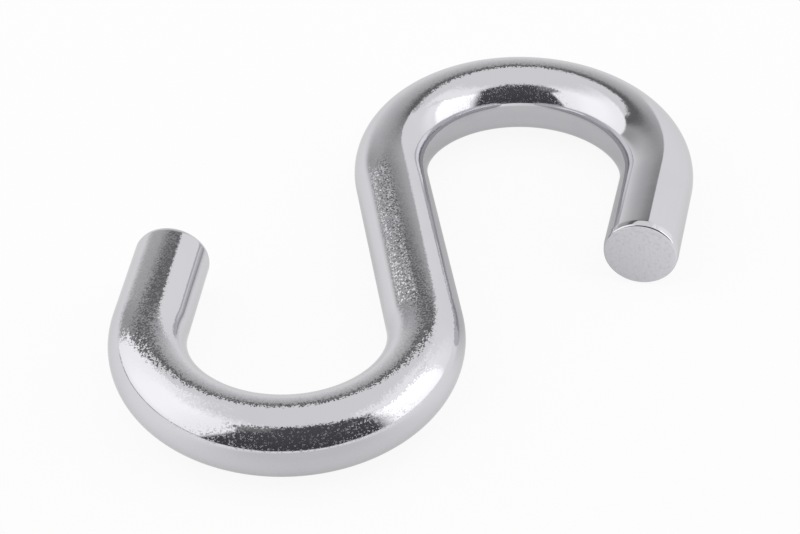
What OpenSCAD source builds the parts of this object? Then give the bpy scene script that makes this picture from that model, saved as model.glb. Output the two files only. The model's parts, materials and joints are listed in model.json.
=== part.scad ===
// S hook bent from one length of round steel wire, lying flat on its side.
// Two bends turn opposite ways from a straight shank, and each ends in a short
// straight leg that leans back towards the shank. The legs are cropped square, and
// the blades press in the rim of each cropped face a little.
// +Y runs along the shank to the upper hook, +Z is square to the plane of the
// hook, and the origin is on the surface that the hook lies on, under the middle
// of its outline.

/* [Wire] */
// Diameter of the round wire
wire_d = 6; // [3:0.5:10]
// How far the blades press in the rim of the cropped ends
rim_depth = 0.08; // [0.05:0.01:0.3]

/* [Shank] */
// Length of the straight shank between the bends
shank_length = 17.5; // [12:0.5:60]

/* [Upper hook] */
// Inside radius of the upper bend, which is that of its mandrel
upper_inside_r = 7.9; // [6:0.1:20]
// How far the upper leg leans in towards the shank, for each millimetre of its length
upper_lean = 0.352; // [0:0.004:0.5]
// Length of the upper leg, from the bend to its cropped face
upper_leg = 8.6; // [4:0.1:12]
// Length of the pressed rim along the upper leg
upper_rim = 0.6; // [0.2:0.05:1.5]

/* [Lower hook] */
// Inside radius of the lower bend, which is that of its mandrel
lower_inside_r = 7.6; // [6:0.1:20]
// How far the lower leg leans in towards the shank, for each millimetre of its length
lower_lean = 0.28; // [0:0.004:0.5]
// Length of the lower leg, from the bend to its cropped face
lower_leg = 8.3; // [4:0.1:12]
// Length of the pressed rim along the lower leg
lower_rim = 0.35; // [0.2:0.05:1.5]

/* [Hidden] */
$fn = 96;

wire_r = wire_d / 2;
// Radius of the flat cropped faces, inside their pressed rims
face_r = wire_r - rim_depth;

// How far the hooks reach to each side of the shank's centreline, and the place
// of the outline's middle, which is the origin
function bend_r(inside_r) = inside_r + wire_r;
function reach(inside_r) = 2 * bend_r(inside_r) + wire_r;
middle_x = (reach(upper_inside_r) - reach(lower_inside_r)) / 2;
middle_y = (bend_r(upper_inside_r) - bend_r(lower_inside_r)) / 2;

// Straight round wire of the shank, along Y and centred on the origin
module shank() {
    rotate([90, 0, 0])
        cylinder(r = wire_r, h = shank_length, center = true);
}

// Straight leg along -Y, from the origin to its cropped face
module leg(length, rim) {
    rotate([90, 0, 0])
        rotate_extrude()
            polygon([
                [0, 0],
                [wire_r, 0],
                [wire_r, length - rim],
                [face_r, length],
                [0, length]
            ]);
}

// Everything on the -Y side of a plane through the Z axis, turned by an angle
module behind(turn, size) {
    rotate([0, 0, turn])
        translate([-size, -size, -size])
            cube([2 * size, size, 2 * size]);
}

// Wire bent about the Z axis: it starts on the -X side, heading +Y, and turns
// clockwise past the half turn by the overbend. A ring of wire is cut off at the
// planes where the straight wire starts.
module bend(inside_r, overbend) {
    difference() {
        rotate([0, 0, -90])
            rotate_extrude()
                translate([bend_r(inside_r), 0])
                    circle(r = wire_r);
        intersection() {
            behind(0, reach(inside_r));
            behind(-overbend, reach(inside_r));
        }
    }
}

// One hook: the bend that starts at the end of the shank, and its free leg
module hook(inside_r, lean, leg_length, rim) {
    overbend = asin(lean);
    translate([bend_r(inside_r), shank_length / 2, 0]) {
        bend(inside_r, overbend);
        rotate([0, 0, -overbend])
            translate([bend_r(inside_r), 0, 0])
                leg(leg_length, rim);
    }
}

// The whole wire: the shank, the upper hook, and the lower hook half a turn round
module s_hook() {
    color("silver")
        translate([-middle_x, -middle_y, wire_r]) {
            shank();
            hook(upper_inside_r, upper_lean, upper_leg, upper_rim);
            rotate([0, 0, 180])
                hook(lower_inside_r, lower_lean, lower_leg, lower_rim);
        }
}

s_hook();
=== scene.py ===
# %% [markdown]
# An S hook of bright zinc-plated wire
#
# The hook is one length of round steel wire, bent twice in opposite directions and cropped at
# both ends. Nothing on it moves, so the lesson is about two things: sweeping a wire along a
# path, and giving bare metal something worth reflecting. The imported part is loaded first. It
# fixes every size, and what is made here is fitted to it.

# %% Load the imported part
import json
import math
import bmesh
import bpy
from mathutils import Matrix, Vector


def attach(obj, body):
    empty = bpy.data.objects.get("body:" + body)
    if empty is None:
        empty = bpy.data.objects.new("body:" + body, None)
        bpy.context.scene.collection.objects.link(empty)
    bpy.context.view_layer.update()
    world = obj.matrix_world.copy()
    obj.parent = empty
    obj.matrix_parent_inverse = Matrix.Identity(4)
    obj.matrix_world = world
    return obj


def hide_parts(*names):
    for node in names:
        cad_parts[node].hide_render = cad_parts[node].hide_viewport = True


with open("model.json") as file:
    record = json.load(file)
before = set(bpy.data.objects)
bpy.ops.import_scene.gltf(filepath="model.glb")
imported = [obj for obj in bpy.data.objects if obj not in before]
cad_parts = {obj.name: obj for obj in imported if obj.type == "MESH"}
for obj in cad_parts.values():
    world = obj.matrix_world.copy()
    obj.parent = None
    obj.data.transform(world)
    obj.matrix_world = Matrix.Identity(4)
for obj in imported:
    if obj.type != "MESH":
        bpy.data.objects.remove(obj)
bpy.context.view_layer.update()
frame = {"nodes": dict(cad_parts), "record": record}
MM = 0.001

# %% [markdown]
# Sizes from the part
#
# The record states the two straight legs as pins and the two bends as seats. A leg gives the
# wire's radius and the leg's place, direction and length. A seat gives the inside radius of its
# bend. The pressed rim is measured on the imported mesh. That is enough to work out the whole
# centreline, so no size is typed in a second time.

# %% Read the hooks from the record
mounts = {mount["name"]: mount for mount in frame["record"]["mounts"]}
wire_radius = mounts["upper_leg"]["dims"]["r_mm"] * MM
node_points = [vertex.co for vertex in frame["nodes"]["s_hook"].data.vertices]


def read_hook(name):
    """A hook's bend and leg, and the pressed rim at the leg's end."""
    leg = mounts[name + "_leg"]
    middle = Vector(leg["pos_m"])
    direction = Vector(leg["axis"]).normalized()
    half_length = leg["dims"]["length_mm"] * MM / 2
    bend_radius = mounts[name + "_seat"]["dims"]["r_mm"] * MM + wire_radius
    start = middle - direction * half_length
    outward = Vector((0, 0, 1)).cross(direction)
    beside = [point - middle for point in node_points]
    beside = [p for p in beside if p.cross(direction).length < wire_radius * 1.01]
    reach = max(p.dot(direction) for p in beside)
    face = [p.cross(direction).length for p in beside if p.dot(direction) > reach - 0.001 * MM]
    return {
        "bend_start": start,
        "bend_centre": start - outward * bend_radius,
        "bend_radius": bend_radius,
        "turn": math.pi + math.asin(abs(direction.x)),
        "direction": direction,
        "leg": half_length + reach,
        "rim_length": reach - half_length,
        "rim_depth": wire_radius - max(face),
    }


hooks = {name: read_hook(name) for name in ("upper", "lower")}
for name, hook in hooks.items():
    sizes = [round(hook[key] / MM, 2) for key in ("bend_radius", "leg", "rim_length", "rim_depth")]
    print(name, "hook: bend radius, leg, rim length and depth in mm:", sizes)

# %% [markdown]
# The camera
#
# The camera stands where the photograph was taken from: in front of the hook, a little to its
# left, and well above it. Its place is written as an azimuth, an elevation and a distance from
# the point that it looks at, because those are what a photographer reads off a tripod.

# %% Place the camera
FRAME_WIDTH_PX = 800
focal_length_px = 2499.5
camera_target = Vector((-1.205, -1.943, 3.0)) * MM
camera_distance = 196.43 * MM
camera_azimuth = math.radians(-8.058)
camera_elevation = math.radians(40.471)
camera_roll = math.radians(-0.351)

away = Vector((
    math.sin(camera_azimuth) * math.cos(camera_elevation),
    -math.cos(camera_azimuth) * math.cos(camera_elevation),
    math.sin(camera_elevation),
))
level = Vector((0, 0, 1)).cross(away).normalized()
upright = away.cross(level)
right = level * math.cos(camera_roll) + upright * math.sin(camera_roll)
up = upright * math.cos(camera_roll) - level * math.sin(camera_roll)

camera_data = bpy.data.cameras.new("camera")
camera_data.sensor_fit = "HORIZONTAL"
camera_data.lens = camera_data.sensor_width * focal_length_px / FRAME_WIDTH_PX
camera_data.clip_start = 0.01
camera = bpy.data.objects.new("camera", camera_data)
turned = Matrix((right, up, away)).transposed().to_4x4()
camera.matrix_world = Matrix.Translation(camera_target + away * camera_distance) @ turned
bpy.context.scene.collection.objects.link(camera)
bpy.context.scene.camera = camera
print("lens", round(camera_data.lens, 1), "mm, at", round(camera_distance / MM), "mm")

# %% [markdown]
# A helper for node trees
#
# The studio, the metal and the sweep are all node trees. Each node is added by one short call
# that gives its settings and its inputs. An input is either a plain value or another node's
# output, which is then linked.

# %% Add nodes in one line each
def add_node(tree, kind, inputs=None, **settings):
    """Adds a node. An input's value is a number, a colour, or another node's output socket."""
    made = tree.nodes.new(kind)
    for name, value in settings.items():
        setattr(made, name, value)
    for name, value in (inputs or {}).items():
        if isinstance(value, bpy.types.NodeSocket):
            tree.links.new(value, made.inputs[name])
        else:
            made.inputs[name].default_value = value
    return made


def calculate(tree, operation, first, second=0.0):
    """The output of one Math node."""
    return add_node(tree, "ShaderNodeMath", {0: first, 1: second}, operation=operation).outputs[0]


def calculate_vector(tree, operation, first, second=(0, 0, 0)):
    """The output of one Vector Math node, which is a plain value for a distance or a product."""
    made = add_node(tree, "ShaderNodeVectorMath", {0: first, 1: second}, operation=operation)
    return made.outputs["Value" if operation in ("DISTANCE", "DOT_PRODUCT") else "Vector"]


def ramp(tree, value, start, end, low=0.0, high=1.0):
    """A value that goes smoothly from low to high as another goes from start to end."""
    made = add_node(
        tree, "ShaderNodeMapRange",
        {"Value": value, "From Min": start, "From Max": end, "To Min": low, "To Max": high},
        interpolation_type="SMOOTHSTEP",
    )
    return made.outputs["Result"]


def mix_colours(tree, mask, below, above):
    """One colour laid over another by a mask. A colour mix keeps its sockets at 0, 6 and 7."""
    made = add_node(tree, "ShaderNodeMix", {0: mask}, data_type="RGBA")
    for index, colour in ((6, below), (7, above)):
        if isinstance(colour, bpy.types.NodeSocket):
            tree.links.new(colour, made.inputs[index])
        else:
            made.inputs[index].default_value = (*colour, 1)
    return made.outputs[2]


print("node helpers: add_node, calculate, calculate_vector, ramp, mix_colours")

# %% [markdown]
# The studio
#
# Bright metal has hardly any colour of its own: what is seen on it is the room. The room here is
# a small white tent with an open front. Each panel is a window of azimuth and elevation, in
# degrees, with its own sides, softness and brightness, and it grades from its foot to its top.
# Azimuth 0 is along the shank, away from the camera, and positive azimuths are on the right.
# Lamps of these shapes would do as well, but a list shows what the metal will reflect.

# %% List the panels of the tent
ROOF = (0.925, 0.925, 0.925)
DARK = (0.052, 0.052, 0.058), (0.095, 0.095, 0.105)


def grey(foot, top=None):
    """Neutral colours for the foot and the top of a panel."""
    return (foot,) * 3, (foot if top is None else top,) * 3


PANELS = [
    # name, sides at the foot, sides at the top, elevations, softness of sides, foot and top,
    # colours at the foot and the top
    ("glow over the left softbox", (-138, -40), (-138, -30), (48, 66), (6, 3, 5), grey(1.2, 1.08)),
    ("glow over the right softbox", (54, 124), (62, 136), (43, 60), (9, 2, 4), grey(1.24, 1.16)),
    ("back wall", (-62, 28), (-50, 33), (-3, 50.7), (1.2, 1.2, 1.2), grey(1.03, 0.3)),
    ("shaded side of the wall", (-75, -27), (-75, -24), (12, 41), (14, 8, 3), grey(0.44, 0.43)),
    ("top of the wall", (-62, 31), (-50, 32), (37.5, 43.5), (1.2, 3, 1.2), grey(0.43, 0.27)),
    ("rail of the wall", (-60, 32), (-50, 46), (43, 50.7), (1.6, 2.4, 1.2), grey(0.16)),
    ("back corner", (29, 84), (32, 80), (-3, 44), (1.5, 1.5, 2), grey(1.0)),
    ("gap under the left softbox", (-124, -56), (-124, -56), (0.8, 2.6), (2, 0.5, 0.5), grey(0.45)),
    ("left softbox", (-135, -50.2), (-146, -36), (2.6, 57), (1.6, 0.5, 5), grey(1.27, 1.3)),
    ("middle of the left softbox", (-106, -66), (-106, -62), (8, 52), (14, 6, 6), grey(1.4, 1.42)),
    ("glow beside the right softbox", (68, 110), (66, 110), (2, 43), (9, 2, 2), grey(1.12, 1.2)),
    ("edge of the right softbox", (62, 124), (62, 124), (44, 46), (4, 0.7, 0.7), grey(0.9)),
    ("right softbox", (85, 136), (82, 136), (0.5, 44.3), (3, 1, 2), grey(1.5, 1.75)),
    ("open front on the left", (-195, -117), (-195, -143), (-20, 63.5), (2.5, 2, 3), DARK),
    ("lintel of the front", (-156, -138), (-156, -125.5), (49, 63.5), (3, 1.5, 3), grey(0.16, 0.3)),
    ("open front on the right", (131, 195), (132, 195), (-20, 63.5), (8, 2, 3), DARK),
]
print("studio panels:", ", ".join(panel[0] for panel in PANELS))

# %% [markdown]
# The tent's shell
#
# The panels could be painted on the world, but then every leg would mirror the same direction
# alike. A real tent is near, so its reflections shift from leg to leg. So the panels are painted
# on a shell round the hook, which glows and is clear to the camera. Outside the shell there is
# only a plain white world.

# %% Raise the tent
TENT_RADIUS = 0.34
bpy.context.scene.view_settings.view_transform = "Standard"
world = bpy.data.worlds.new("plain_white")
bpy.context.scene.world = world
world.use_nodes = True
world.node_tree.nodes["Background"].inputs["Color"].default_value = (1, 1, 1, 1)

tent_mesh = bpy.data.meshes.new("tent")
shell = bmesh.new()
bmesh.ops.create_uvsphere(shell, u_segments=96, v_segments=48, radius=TENT_RADIUS)
shell.to_mesh(tent_mesh)
shell.free()
tent_object = bpy.data.objects.new("tent", tent_mesh)
bpy.context.scene.collection.objects.link(tent_object)
tent_cloth = bpy.data.materials.new("tent_cloth")
tent_mesh.materials.append(tent_cloth)
print("tent of", len(tent_mesh.polygons), "faces,", TENT_RADIUS, "m from the hook")

# %% [markdown]
# Directions on the shell
#
# Each point of the shell has an azimuth and an elevation, as seen from the hook. The walls at
# the back and the front are flat, and a level edge of a flat wall sinks towards its ends. So the
# walls use an elevation of their own, which is measured square to them. The walls are dark. They
# show in the wire itself, but not where one side of a hook is seen in the other, as they would
# draw black lines along the insides of the bends. The ray's depth tells the two apart.

# %% Find the directions
WALLS = (
    "back wall", "shaded side of the wall", "top of the wall", "rail of the wall",
    "open front on the left", "lintel of the front", "open front on the right",
)
WALL_AZIMUTH = math.radians(6)
DIRECT_DEPTH = 1.5
tent_cloth.use_nodes = True
tent_cloth.cycles.emission_sampling = "NONE"
sky = tent_cloth.node_tree
sky.nodes.clear()
outlook = add_node(sky, "ShaderNodeTexCoord").outputs["Object"]
outlook = calculate_vector(sky, "NORMALIZE", outlook)
heading = add_node(sky, "ShaderNodeSeparateXYZ", {0: outlook})
radians_azimuth = calculate(sky, "ARCTAN2", heading.outputs["X"], heading.outputs["Y"])
azimuth = calculate(sky, "DEGREES", radians_azimuth)
elevation = calculate(sky, "DEGREES", calculate(sky, "ARCSINE", heading.outputs["Z"]))
square_on = Vector((math.sin(WALL_AZIMUTH), math.cos(WALL_AZIMUTH), 0))
wall_distance = calculate(sky, "ABSOLUTE", calculate_vector(sky, "DOT_PRODUCT", outlook, square_on))
radians_up = calculate(sky, "ARCTAN2", heading.outputs["Z"], wall_distance)
wall_elevation = calculate(sky, "DEGREES", radians_up)
light_path = add_node(sky, "ShaderNodeLightPath")
direct = calculate(sky, "LESS_THAN", light_path.outputs["Ray Depth"], DIRECT_DEPTH)
print("directions on the shell:", len(sky.nodes), "nodes")

# %% [markdown]
# Painting the panels
#
# A panel is a mask made of four soft steps, two for its sides and one each for its foot and its
# top. Panels are laid over the roof one after the other, so a later one covers an earlier one.

# %% Lay the panels
def past(angle, limit, softness):
    """0 before a limit and 1 past it, with a soft step."""
    beyond = calculate(sky, "SUBTRACT", angle, limit)
    return ramp(sky, beyond, -softness, softness)


def lay_panel(below, panel):
    """Lays a panel over the colour of the tent so far."""
    label, foot_sides, top_sides, (foot, top), softness, colours = panel
    side_softness, foot_softness, top_softness = softness
    rise, share = (wall_elevation, direct) if label in WALLS else (elevation, 1.0)
    height = add_node(
        sky, "ShaderNodeMapRange",
        {"Value": rise, "From Min": foot, "From Max": top},
    ).outputs["Result"]
    sides = []
    for low, high in zip(foot_sides, top_sides):
        leaning = calculate(sky, "ADD", calculate(sky, "MULTIPLY", height, high - low), low)
        sides.append(past(azimuth, leaning, side_softness))
    across = calculate(sky, "SUBTRACT", sides[0], sides[1])
    above_foot = past(rise, foot, foot_softness)
    upwards = calculate(sky, "SUBTRACT", above_foot, past(rise, top, top_softness))
    mask = calculate(sky, "MULTIPLY", calculate(sky, "MULTIPLY", across, upwards), share)
    return mix_colours(sky, mask, below, mix_colours(sky, height, *colours))


tent = ROOF
for panel in PANELS:
    tent = lay_panel(tent, panel)
shining = add_node(sky, "ShaderNodeEmission", {"Color": tent}).outputs[0]
clear = add_node(sky, "ShaderNodeBsdfTransparent").outputs[0]
seen = light_path.outputs["Is Camera Ray"]
cloth = add_node(sky, "ShaderNodeMixShader", {0: seen, 1: shining, 2: clear})
add_node(sky, "ShaderNodeOutputMaterial", {"Surface": cloth.outputs[0]})
print("the tent's material has", len(sky.nodes), "nodes")

# %% [markdown]
# The floor
#
# The hook lies on a white light table, which is far wider than the hook, so that every view ends
# on it. Such a table is matt, and it also glows, so that shadows on it are faint. The glow is
# only for the camera and for what metal reflects: it adds no light to the object, and the matt
# share of the floor keeps the hook's soft shadow. In the metal the glow has a smaller share. It is
# also weaker in a patch before each bend, as the open front sends less light down there.

# %% Lay the floor
FLOOR_HALF_WIDTH = 5.0
GLOW_FOR_CAMERA = 0.9
GLOW_IN_METAL = 0.72
# place of the middle in mm, radius of the full shade and of its edge in mm, depth
SHADE_BEFORE_BENDS = [((9, 5), 8, 19, 0.36), ((-10, -43), 12, 34, 0.36)]
floor_mesh = bpy.data.meshes.new("floor")
corner_signs = ((-1, -1), (1, -1), (1, 1), (-1, 1))
floor_corners = [(x * FLOOR_HALF_WIDTH, y * FLOOR_HALF_WIDTH, 0) for x, y in corner_signs]
floor_mesh.from_pydata(floor_corners, [], [(0, 1, 2, 3)])
floor = bpy.data.objects.new("floor", floor_mesh)
bpy.context.scene.collection.objects.link(floor)

table_top = bpy.data.materials.new("light_table")
table_top.use_nodes = True
table = table_top.node_tree
matt = table.nodes["Principled BSDF"]
matt.inputs["Base Color"].default_value = (0.97, 0.97, 0.97, 1)
matt.inputs["Roughness"].default_value = 1.0
matt.inputs["Specular IOR Level"].default_value = 0.0
rays = add_node(table, "ShaderNodeLightPath")
spot = add_node(table, "ShaderNodeTexCoord").outputs["Object"]
shaded = 1.0
for (x, y), inner, outer, depth in SHADE_BEFORE_BENDS:
    off = calculate_vector(table, "DISTANCE", spot, (x * MM, y * MM, 0))
    patch = ramp(table, off, inner * MM, outer * MM, 1 - depth, 1.0)
    shaded = calculate(table, "MULTIPLY", patch, shaded)
seen, glossy, through = (
    rays.outputs[name] for name in ("Is Camera Ray", "Is Glossy Ray", "Is Transmission Ray")
)
strength = calculate(table, "MAXIMUM", seen, shaded)
glow = add_node(table, "ShaderNodeEmission", {"Color": (1, 1, 1, 1), "Strength": strength})
mirrored = calculate(table, "MAXIMUM", glossy, through)
share = calculate(
    table, "MAXIMUM",
    calculate(table, "MULTIPLY", seen, GLOW_FOR_CAMERA),
    calculate(table, "MULTIPLY", mirrored, GLOW_IN_METAL),
)
lit = add_node(table, "ShaderNodeMixShader", {0: share, 1: matt.outputs[0], 2: glow.outputs[0]})
table.links.new(lit.outputs[0], table.nodes["Material Output"].inputs["Surface"])
floor.data.materials.append(table_top)
print("floor", 2 * FLOOR_HALF_WIDTH, "m wide")

# %% [markdown]
# The wire's path
#
# The centreline runs from one cropped face to the other: leg, bend, shank, bend, leg. It could
# be drawn by hand as a curve, but its rule is plain, so the points are worked out from the sizes
# above. Each point is one ring of the wire and also says how thick the wire is there, which is
# 1 along the wire and falls over the pressed rim and across the cropped face to 0 at its middle.

# %% Shape the ends of the wire
RIM_ROUNDING = 0.06 * MM
FACE_ROUNDING_SHARE = 0.28
FACE_SHARES = (0.88, 0.7, 0.5, 0.3, 0.12, 0.0)
FACE_STEP = 0.004 * MM


def rounded(before, corner, after, size, steps=5):
    """Points of a small rounding that takes the place of a corner."""
    start = corner + (before - corner).normalized() * size
    end = corner + (after - corner).normalized() * size
    shares = [i / steps for i in range(steps + 1)]
    return [start.lerp(corner, t).lerp(corner.lerp(end, t), t) for t in shares]


def end_rings(hook):
    """Rings from the straight leg to the middle of its face: place along it, girth, on the face."""
    face_at = hook["leg"] - FACE_STEP * len(FACE_SHARES)
    face_radius = wire_radius - hook["rim_depth"]
    on_leg = Vector((hook["leg"] - hook["rim_length"], wire_radius))
    on_face = Vector((face_at, face_radius))
    rim = rounded(Vector((0, wire_radius)), on_leg, on_face, RIM_ROUNDING)
    rim += rounded(on_leg, on_face, Vector((face_at, 0)), hook["rim_length"] * FACE_ROUNDING_SHARE)
    rings = [(point.x, point.y / wire_radius, 0.0) for point in rim[:-1]]
    rings.append((rim[-1].x, rim[-1].y / wire_radius, 1.0))
    for number, share in enumerate(FACE_SHARES, 1):
        rings.append((face_at + number * FACE_STEP, rim[-1].y / wire_radius * share, 1.0))
    return rings


print("rings at one end:", len(end_rings(hooks["upper"])))

# %% Work out the centreline
RING_STEP = 0.3 * MM
BEND_RINGS = 130


def hook_rings(name):
    """Rings of a hook, from its cropped face to where its bend meets the shank."""
    hook = hooks[name]
    ends = end_rings(hook)
    straight = ends[0][0]
    count = round(straight / RING_STEP)
    leg = [(straight * i / count, 1.0, 0.0) for i in range(1, count)] + ends
    rings = []
    for at, girth, face in reversed(leg):
        rings.append((hook["bend_start"] + hook["direction"] * at, girth, face))
    arm = hook["bend_start"] - hook["bend_centre"]
    for i in range(BEND_RINGS + 1):
        arm_turned = Matrix.Rotation(hook["turn"] * i / BEND_RINGS, 3, "Z") @ arm
        rings.append((hook["bend_centre"] + arm_turned, 1.0, 0.0))
    return rings


upper_rings = hook_rings("upper")
lower_rings = hook_rings("lower")
shank_top = upper_rings[-1][0]
shank_foot = lower_rings[-1][0]
shank_count = round((shank_top - shank_foot).length / RING_STEP)
shank_places = [shank_top.lerp(shank_foot, i / shank_count) for i in range(1, shank_count)]
shank_rings = [(place, 1.0, 0.0) for place in shank_places]
rings = upper_rings + shank_rings + lower_rings[::-1]
places = [ring[0] for ring in rings]
travelled = [0.0]
for here, there in zip(places, places[1:]):
    travelled.append(travelled[-1] + (there - here).length)
print(len(rings), "rings along", round(travelled[-1] / MM, 1), "mm of wire")
print("shank", round((shank_top - shank_foot).length / MM, 2), "mm")

# %% [markdown]
# Where the wire is grainy
#
# Bending stretches the steel, and its crystals stand up a little under the plate. The bends show
# it, and the shank shows it most, on the side that the bender gripped. The ends stay bright. Each
# strength is a short list of places along the wire, read off between them in straight lines.

# %% Set out the grain along the wire
# millimetres from the upper face, strength
BENT_GRAIN = [
    (0, 0.05), (13, 0.08), (20, 0.35), (26, 0.9), (34, 0.8), (40, 0.25), (58, 0.25),
    (66, 0.85), (72, 1.0), (98, 1.0), (103, 0.6), (110, 0.4),
]
GRIP_GRAIN = [(0, 0.0), (46.3, 0.0), (48.3, 4.0), (56, 3.5), (63, 3.2), (66.5, 0.0), (110, 0.0)]


def grain_at(strengths, distance):
    """The strength in a list at a distance from the wire's upper face."""
    for (start, low), (end, high) in zip(strengths, strengths[1:]):
        if distance <= end * MM:
            share = (distance / MM - start) / (end - start)
            return low + (high - low) * share
    return strengths[-1][1]


rings = [
    (*ring, grain_at(BENT_GRAIN, distance), grain_at(GRIP_GRAIN, distance))
    for ring, distance in zip(rings, travelled)
]
most_bent, most_gripped = (max(ring[column] for ring in rings) for column in (3, 4))
print("grain up to", most_bent, "bent and", round(most_gripped, 2), "gripped")

# %% [markdown]
# Grain
#
# On the real hook the grain is a fine glitter, strongest where a reflection has an edge. Each
# crystal of the plate is a small flat mirror with its own tilt. The plate and the cropped faces
# both have grain, at their own scales, so it is a node group: it takes a place, a cell size and a
# height. It gives out a tilt for each Voronoi cell and a random number for it, a plain swell of the
# same scale for a Bump node, and a mask of the hollows.

# %% Build the grain group
HOLLOWS_FROM = 0.5
HOLLOWS_FULL = 0.3
grain_group = bpy.data.node_groups.new("metal_grain", "ShaderNodeTree")
for name, kind in (("Place", "Vector"), ("Cell Size", "Float"), ("Height", "Float")):
    grain_group.interface.new_socket(name, in_out="INPUT", socket_type="NodeSocket" + kind)
outputs = (("Tilt", "Vector"), ("Chance", "Float"), ("Swell", "Float"), ("Hollows", "Float"))
for name, kind in outputs:
    grain_group.interface.new_socket(name, in_out="OUTPUT", socket_type="NodeSocket" + kind)
asked = add_node(grain_group, "NodeGroupInput")
place, height = asked.outputs["Place"], asked.outputs["Height"]
cells = calculate(grain_group, "DIVIDE", 1.0, asked.outputs["Cell Size"])
voronoi = add_node(grain_group, "ShaderNodeTexVoronoi", {"Vector": place, "Scale": cells})
cell_colour = voronoi.outputs["Color"]
chance = add_node(grain_group, "ShaderNodeSeparateColor", {0: cell_colour}).outputs[0]
leaning = calculate_vector(grain_group, "SUBTRACT", cell_colour, (0.5, 0.5, 0.5))
# a colour less 0.5 goes half a unit each way, so the slope is doubled
slope = calculate(grain_group, "MULTIPLY", calculate(grain_group, "MULTIPLY", height, cells), 2.0)
tilt = add_node(
    grain_group, "ShaderNodeVectorMath", {0: leaning, "Scale": slope}, operation="SCALE",
).outputs[0]
clouds = add_node(
    grain_group, "ShaderNodeTexNoise",
    {"Vector": place, "Scale": cells, "Detail": 1.0, "Roughness": 0.5},
)
swell = calculate(grain_group, "MULTIPLY", clouds.outputs["Fac"], height)
hollows = ramp(grain_group, clouds.outputs["Fac"], HOLLOWS_FROM, HOLLOWS_FULL)
given = {"Tilt": tilt, "Chance": chance, "Swell": swell, "Hollows": hollows}
add_node(grain_group, "NodeGroupOutput", given)
print("group", grain_group.name, "with", len(grain_group.nodes), "nodes")

# %% [markdown]
# The zinc plate
#
# Bright zinc is a soft, slightly blue metal. Its gloss isn't perfect: it blurs a reflection a
# little, and some crystals of the bent wire are dull. Drawing the wire through a die also leaves
# faint lines along it. So the material reads three attributes that the sweep stores on the mesh:
# how tilted and how dulled the crystals are, and where each point was before the wire was bent.

# %% Helpers for the metals
def new_metal(name, colour, roughness):
    """A metal with a Principled shader, and that shader."""
    material = bpy.data.materials.new(name)
    material.use_nodes = True
    shader = material.node_tree.nodes["Principled BSDF"]
    shader.inputs["Base Color"].default_value = (*colour, 1)
    shader.inputs["Metallic"].default_value = 1.0
    shader.inputs["Roughness"].default_value = roughness
    return material, material.node_tree, shader


def grain(tree, place, cell_size, height):
    """The grain group, placed in a material with its own values."""
    values = {"Place": place, "Cell Size": cell_size, "Height": height}
    return add_node(tree, "ShaderNodeGroup", values, node_tree=grain_group)


print("metal helpers: new_metal, grain")

# %% Mix the zinc plate
ZINC = (0.632, 0.626, 0.656)
ZINC_ON_SWELLS = (0.638, 0.631, 0.66)
ZINC_IN_HOLLOWS = (0.622, 0.618, 0.652)
GRAZING_TINT = (0.8, 0.8, 0.8, 1)
BLUR_ON_SWELLS = 0.06
BLUR_IN_HOLLOWS = 0.08
DULL_FROM = 0.6
DULL_BLUR = 0.36
# cell size and height of each grain
CRYSTALS = (0.1 * MM, 0.0032 * MM)
UNEVEN_EDGES = (1.2 * MM, 0.004 * MM)
DIE_LINES = (0.12 * MM, 0.0008 * MM)
WAVES = (5 * MM, 0.008 * MM)
ALONG_THE_WIRE = (1, 1, 0.015)

zinc_plate, zinc, zinc_shader = new_metal("zinc_plate", ZINC, roughness=0.1)
zinc_shader.inputs["Specular Tint"].default_value = GRAZING_TINT
tilted = add_node(zinc, "ShaderNodeAttribute", attribute_name="tilted").outputs["Fac"]
dulled = add_node(zinc, "ShaderNodeAttribute", attribute_name="dulled").outputs["Fac"]
unbent = add_node(zinc, "ShaderNodeAttribute", attribute_name="unbent").outputs["Vector"]
stretched = calculate_vector(zinc, "MULTIPLY", unbent, ALONG_THE_WIRE)

crystals = grain(zinc, unbent, CRYSTALS[0], calculate(zinc, "MULTIPLY", tilted, CRYSTALS[1]))
uneven_edges = grain(zinc, unbent, *UNEVEN_EDGES)
die_lines = grain(zinc, stretched, *DIE_LINES)
waves = grain(zinc, unbent, *WAVES)

smooth = add_node(zinc, "ShaderNodeNewGeometry").outputs["Normal"]
faceted = calculate_vector(zinc, "ADD", smooth, crystals.outputs["Tilt"])
faceted = calculate_vector(zinc, "NORMALIZE", faceted)
relief = calculate(zinc, "ADD", uneven_edges.outputs["Swell"], die_lines.outputs["Swell"])
relief = calculate(zinc, "ADD", relief, waves.outputs["Swell"])
bump = add_node(
    zinc, "ShaderNodeBump",
    {"Height": relief, "Distance": 1.0, "Strength": 1.0, "Normal": faceted},
)
zinc.links.new(bump.outputs["Normal"], zinc_shader.inputs["Normal"])

hollow = waves.outputs["Hollows"]
blur = ramp(zinc, hollow, 0.0, 1.0, BLUR_ON_SWELLS, BLUR_IN_HOLLOWS)
dull_crystals = ramp(zinc, crystals.outputs["Chance"], DULL_FROM, 1.0, 0.0, DULL_BLUR)
blur = calculate(zinc, "ADD", blur, calculate(zinc, "MULTIPLY", dull_crystals, dulled))
zinc.links.new(blur, zinc_shader.inputs["Roughness"])
tint = mix_colours(zinc, hollow, ZINC_ON_SWELLS, ZINC_IN_HOLLOWS)
zinc.links.new(tint, zinc_shader.inputs["Base Color"])
print("material", zinc_plate.name, "with", len(zinc.nodes), "nodes")

# %% [markdown]
# The cropped faces
#
# The wire is cropped, not sawn. The blades shear part of the way and the rest breaks off, so
# the face is matt and a little torn, and the plate over it is matt too. The same grain is used
# here with larger cells, and a second one, stretched across the face, draws the shear marks.

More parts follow.
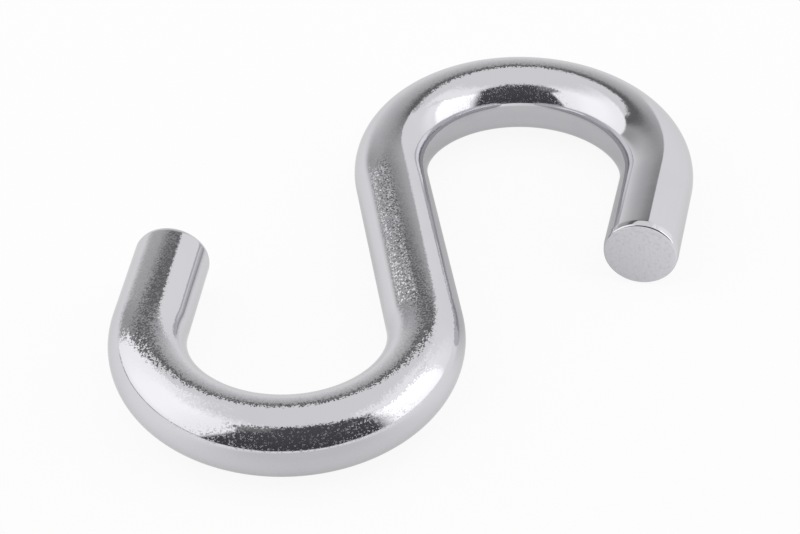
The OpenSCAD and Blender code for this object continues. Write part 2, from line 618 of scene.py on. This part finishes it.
# %% Mix the cropped face
# the face's colour is lighter than the plate's: partly its own matt plate, and partly painted light
# that makes up for the shaded floor patches it faces
CROPPED_ZINC_WITH_PAINTED_LIGHT = (0.69, 0.683, 0.72)
TORN_STEEL = (0.3 * MM, 0.045 * MM)
SHEAR_MARKS = (0.25 * MM, 0.016 * MM)
ACROSS_THE_FACE = (1, 0.12, 1)
FACE_BLUR = (0.42, 0.55)

cropped_face, face_tree, face_shader = new_metal("cropped_face", CROPPED_ZINC_WITH_PAINTED_LIGHT, roughness=0.45)
face_place = add_node(face_tree, "ShaderNodeAttribute", attribute_name="unbent").outputs["Vector"]
torn = grain(face_tree, face_place, *TORN_STEEL)
across = calculate_vector(face_tree, "MULTIPLY", face_place, ACROSS_THE_FACE)
shear = grain(face_tree, across, *SHEAR_MARKS)
face_relief = calculate(face_tree, "ADD", torn.outputs["Swell"], shear.outputs["Swell"])
face_bump = add_node(
    face_tree, "ShaderNodeBump", {"Height": face_relief, "Distance": 1.0, "Strength": 1.0},
)
face_tree.links.new(face_bump.outputs["Normal"], face_shader.inputs["Normal"])
face_blur = ramp(face_tree, torn.outputs["Hollows"], 0.0, 1.0, *FACE_BLUR)
face_tree.links.new(face_blur, face_shader.inputs["Roughness"])
print("material", cropped_face.name, "with", len(face_tree.nodes), "nodes")

# %% [markdown]
# Sweeping the wire
#
# The rings could be joined by hand in mesh code, but a sweep is what Geometry Nodes do well. The
# path becomes a curve, a circle is swept along it and scaled by each ring's girth, and the
# tree passes on what each ring carries. Z-up normals keep the circle from twisting, since the
# path lies flat.

# %% Start the sweep
sweep = bpy.data.node_groups.new("swept_wire", "GeometryNodeTree")
sockets = {}
for name, kind in (("Geometry", "Geometry"), ("Wire Radius", "Float"), ("Sides", "Int")):
    socket_type = "NodeSocket" + kind
    sockets[name] = sweep.interface.new_socket(name, in_out="INPUT", socket_type=socket_type)
sweep.interface.new_socket("Geometry", in_out="OUTPUT", socket_type="NodeSocketGeometry")


def ring_value(name, kind="FLOAT"):
    """The value that a ring carries under a name."""
    made = add_node(sweep, "GeometryNodeInputNamedAttribute", {"Name": name}, data_type=kind)
    return made.outputs["Attribute"]


def keep_value(geometry, name, value, kind="FLOAT"):
    """Stores a value on every point of a curve or a mesh."""
    made = add_node(
        sweep, "GeometryNodeStoreNamedAttribute",
        {"Geometry": geometry, "Name": name, "Value": value}, data_type=kind, domain="POINT",
    )
    return made.outputs["Geometry"]


wanted = add_node(sweep, "NodeGroupInput").outputs
path = add_node(sweep, "GeometryNodeMeshToCurve", {"Mesh": wanted["Geometry"]}).outputs["Curve"]
path = add_node(sweep, "GeometryNodeSetCurveNormal", {"Curve": path}, mode="Z_UP").outputs["Curve"]
travel = add_node(sweep, "GeometryNodeSplineParameter").outputs["Length"]
path = keep_value(path, "along", travel)
circle = add_node(
    sweep, "GeometryNodeCurvePrimitiveCircle",
    {"Resolution": wanted["Sides"], "Radius": wanted["Wire Radius"]},
).outputs["Curve"]
position = add_node(sweep, "GeometryNodeInputPosition").outputs[0]
circle = keep_value(circle, "section", position, "FLOAT_VECTOR")
tube = add_node(
    sweep, "GeometryNodeCurveToMesh",
    {"Curve": path, "Profile Curve": circle, "Scale": ring_value("girth")},
).outputs["Mesh"]
print("swept tube:", len(sweep.nodes), "nodes, inputs", ", ".join(sockets))

# %% [markdown]
# Values for the plate
#
# The plate's three attributes are worked out in the same tree, where the rings' values and the
# normals are at hand. The straight place of a point is its place in the circle and its distance
# along the wire. The tilt of the crystals shows on top of the bends and on the gripped side of
# the shank, and dull crystals show on the upper fronts.

# %% Store the values for the plate
# how far a normal points along an axis where a mask starts, and where it is full
FRONT = (-0.5, -0.72)
UPPER = (0.25, 0.45)
TOP = (0.5, 1.0)
GRIPPED_SIDE = (-0.07, -0.28)
GRIP_EDGE = (-0.71, -0.62)
TOP_STRENGTH = 1.7
flat = add_node(
    sweep, "ShaderNodeVectorMath",
    {0: ring_value("section", "FLOAT_VECTOR"), "Scale": ring_value("girth")}, operation="SCALE",
).outputs[0]
lengthwise = add_node(sweep, "ShaderNodeCombineXYZ", {"Z": ring_value("along")}).outputs[0]
straight = calculate_vector(sweep, "ADD", flat, lengthwise)
tube = keep_value(tube, "unbent", straight, "FLOAT_VECTOR")

facing = add_node(sweep, "GeometryNodeInputNormal").outputs[0]
facing = add_node(sweep, "ShaderNodeSeparateXYZ", {0: facing}).outputs
front = ramp(sweep, facing["Y"], *FRONT)
upper_front = calculate(sweep, "MULTIPLY", front, ramp(sweep, facing["Z"], *UPPER))
top = ramp(sweep, facing["Z"], *TOP, 0.0, TOP_STRENGTH)
gripped_side = ramp(sweep, facing["X"], *GRIPPED_SIDE)
gripped_side = calculate(sweep, "MULTIPLY", gripped_side, ramp(sweep, facing["X"], *GRIP_EDGE))
gripped = calculate(sweep, "MULTIPLY", ring_value("gripped"), gripped_side)
bent_on_top = calculate(sweep, "MULTIPLY", ring_value("bent"), top)
tube = keep_value(tube, "tilted", calculate(sweep, "ADD", bent_on_top, gripped))
tube = keep_value(tube, "dulled", calculate(sweep, "MULTIPLY", ring_value("bent"), upper_front))
print("values for the plate: unbent, tilted, dulled")

# %% [markdown]
# Closing the ends
#
# The last ring at each end has no size, so its points are merged into one and the wire is closed.
# Then the tree makes everything plain geometry and gives it its materials: zinc plate all over,
# and the cropped face where the rings say so.

# %% Finish the sweep
MERGE_DISTANCE = 0.0002 * MM
FACE_FROM = 0.75


def pass_through(geometry, kind, **inputs):
    """The geometry after one more node, whose inputs are given by name."""
    named = {name.replace("_", " "): value for name, value in inputs.items()}
    return add_node(sweep, "GeometryNode" + kind, {"Geometry": geometry, **named}).outputs[0]


is_face = calculate(sweep, "GREATER_THAN", ring_value("on_face"), FACE_FROM)
tube = pass_through(tube, "MergeByDistance", Distance=MERGE_DISTANCE)
tube = pass_through(tube, "SetShadeSmooth", Shade_Smooth=True)
tube = pass_through(tube, "RealizeInstances")
tube = pass_through(tube, "SetMaterial", Material=zinc_plate)
tube = pass_through(tube, "SetMaterial", Selection=is_face, Material=cropped_face)
add_node(sweep, "NodeGroupOutput", {"Geometry": tube})
print("sweep of", len(sweep.nodes), "nodes")

# %% [markdown]
# The finished piece
#
# The path is a mesh of bare edges that carries the rings' values. The modifier sweeps it, and
# the result is taken as a plain mesh, because only plain meshes are handed on. It stands for
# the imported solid, which stays behind it for collision.

# %% Sweep the wire and take its mesh
SIDES = 128
path_mesh = bpy.data.meshes.new("wire_path")
path_edges = [(i, i + 1) for i in range(len(rings) - 1)]
path_mesh.from_pydata([ring[0] for ring in rings], path_edges, [])
for column, name in ((1, "girth"), (2, "on_face"), (3, "bent"), (4, "gripped")):
    values = path_mesh.attributes.new(name, "FLOAT", "POINT")
    values.data.foreach_set("value", [ring[column] for ring in rings])
path_object = bpy.data.objects.new("wire_path", path_mesh)
bpy.context.scene.collection.objects.link(path_object)
modifier = path_object.modifiers.new("swept_wire", "NODES")
modifier.node_group = sweep
modifier[sockets["Wire Radius"].identifier] = wire_radius
modifier[sockets["Sides"].identifier] = SIDES

depsgraph = bpy.context.evaluated_depsgraph_get()
wire_mesh = bpy.data.meshes.new_from_object(
    path_object.evaluated_get(depsgraph), preserve_all_data_layers=True, depsgraph=depsgraph,
)
wire_mesh.name = "hook_wire"
path_object.modifiers.remove(modifier)
bpy.data.objects.remove(path_object)
hook_wire = bpy.data.objects.new("hook_wire", wire_mesh)
bpy.context.scene.collection.objects.link(hook_wire)
wire_mesh.calc_loop_triangles()
volume = 0.0
for triangle in wire_mesh.loop_triangles:
    first, second, third = (wire_mesh.vertices[i].co for i in triangle.vertices)
    volume += first.dot(second.cross(third)) / 6
if volume < 0:
    wire_mesh.flip_normals()
volume_mm3 = round(abs(volume) / MM ** 3, 1)
print("wire of", len(wire_mesh.loop_triangles), "triangles,", volume_mm3, "mm3")
print("materials", [material.name for material in wire_mesh.materials])

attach(hook_wire, "root")
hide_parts("s_hook")
